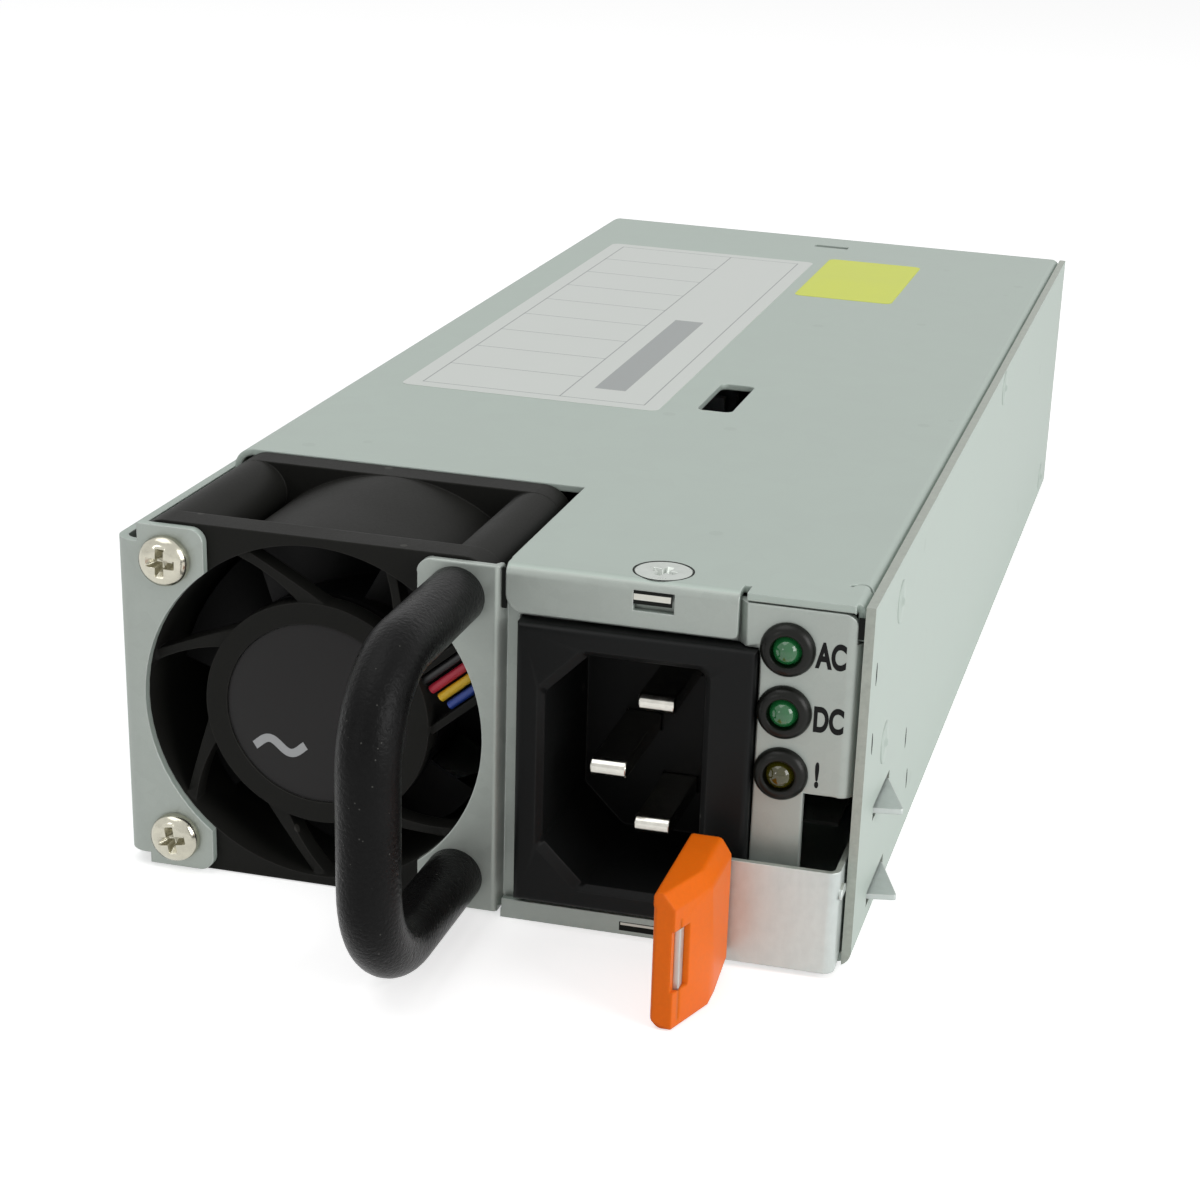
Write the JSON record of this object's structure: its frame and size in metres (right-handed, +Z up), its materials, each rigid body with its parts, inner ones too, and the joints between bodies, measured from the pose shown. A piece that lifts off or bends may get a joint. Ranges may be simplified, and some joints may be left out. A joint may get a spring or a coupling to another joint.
{
  "type": "hot swap server power supply",
  "caption": "Slim plug-in server power supply: sheet-steel case, front fan, D handle, appliance inlet, status lamps, sprung release latch and rear blade edge.",
  "frame": {"origin": "centre of the flat underside of the case", "axes": "+Y from the front face with the inlet, fan and handle towards the rear blade edge (the way it is pushed in), +Z up, +X to the right as seen from the front"},
  "size_m": [0.085, 0.2275, 0.0402],
  "materials": {
    "galvanised_case": "galvanised sheet, satin with a faint crystal grain",
    "black_plastic": "moulded, fine satin",
    "rotor_plastic": "moulded, satin",
    "coated_bar": "black wrinkle coat",
    "bright_screw": "nickel plated",
    "spring_steel": "raw strip, fine mottled",
    "orange_plastic": "moulded, soft gloss",
    "pin_metal": "nickel plated brass",
    "green_lamp": "translucent green lens",
    "amber_lamp": "translucent amber lens",
    "board_green": "solder mask over glass laminate",
    "contact_gold": "gold plated",
    "bearing_steel": "ground steel",
    "rotor_steel": "drawn steel cup",
    "magnet_black": "bonded ferrite",
    "core_steel": "stacked laminations",
    "ferrite": "sintered ferrite",
    "copper_wire": "enamelled copper",
    "coil_tape": "yellow polyester tape over the winding",
    "heatsink_metal": "extruded",
    "chip_black": "moulded epoxy",
    "can_sleeve": "shrunk sleeve",
    "film_box": "moulded box",
    "white_plastic": "moulded nylon",
    "fuse_body": "ceramic tube",
    "clear_sheet": "thin polyester film",
    "standoff_metal": "turned",
    "wire_black": "insulated wire",
    "wire_red": "insulated wire",
    "wire_yellow": "insulated wire",
    "wire_blue": "insulated wire",
    "lead_insulation": "insulated mains lead"
  },
  "bodies": {
    "case": {"chassis": "galvanised_case", "top_cover": "galvanised_case", "front_panel": "galvanised_case", "cover_screw": "bright_screw", "fan_frame": "black_plastic", "fan_bearings": "bearing_steel", "fan_stator": "core_steel", "stator_coils": "copper_wire", "fan_board": "board_green", "fan_screws": "bright_screw", "fan_plug": "white_plastic", "fan_wire_black": "wire_black", "fan_wire_red": "wire_red", "fan_wire_yellow": "wire_yellow", "fan_wire_blue": "wire_blue", "handle_bar": "coated_bar", "handle_screws": "bright_screw", "inlet_housing": "black_plastic", "earth_pin": "pin_metal", "line_pin": "pin_metal", "neutral_pin": "pin_metal", "inlet_leads": "lead_insulation", "led_bezels": "black_plastic", "led_input": "green_lamp", "led_output": "green_lamp", "led_fault": "amber_lamp", "indicator_board": "board_green", "latch_foot": "spring_steel", "latch_rivets": "bright_screw", "main_board": "board_green", "edge_contacts": "contact_gold", "standoffs": "standoff_metal", "board_screws": "bright_screw", "insulator_sheet": "clear_sheet", "control_board": "board_green", "control_chips": "chip_black", "bulk_capacitor": "can_sleeve", "choke_core": "ferrite", "choke_windings": "copper_wire", "choke_stand": "white_plastic", "filter_capacitors": "film_box", "fuse": "fuse_body", "primary_heatsink": "heatsink_metal", "power_transistors": "chip_black", "pfc_core": "ferrite", "pfc_coil": "coil_tape", "transformer_core": "ferrite", "transformer_coil": "coil_tape", "output_heatsink": "heatsink_metal", "output_choke": "copper_wire", "output_capacitors": "can_sleeve"},
    "rotor": {"fan_rotor": "rotor_plastic", "rotor_yoke": "rotor_steel", "rotor_magnet": "magnet_black", "fan_shaft": "bearing_steel"},
    "latch": {"latch_spring": "spring_steel", "latch_grip": "orange_plastic"}
  },
  "joints": [
    {"name": "fan_spin", "type": "hinge", "parent": "case", "child": "rotor", "pos_m": [-0.0189, -0.079, 0.0201], "axis": [0, 1, 0], "continuous": true},
    {"name": "latch_release", "type": "hinge", "parent": "case", "child": "latch", "pos_m": [0.0394, -0.0372, 0.0092], "axis": [0, 0, 1], "range_deg": [-4, 0], "stiffness_Nm_per_rad": 6}
  ]
}
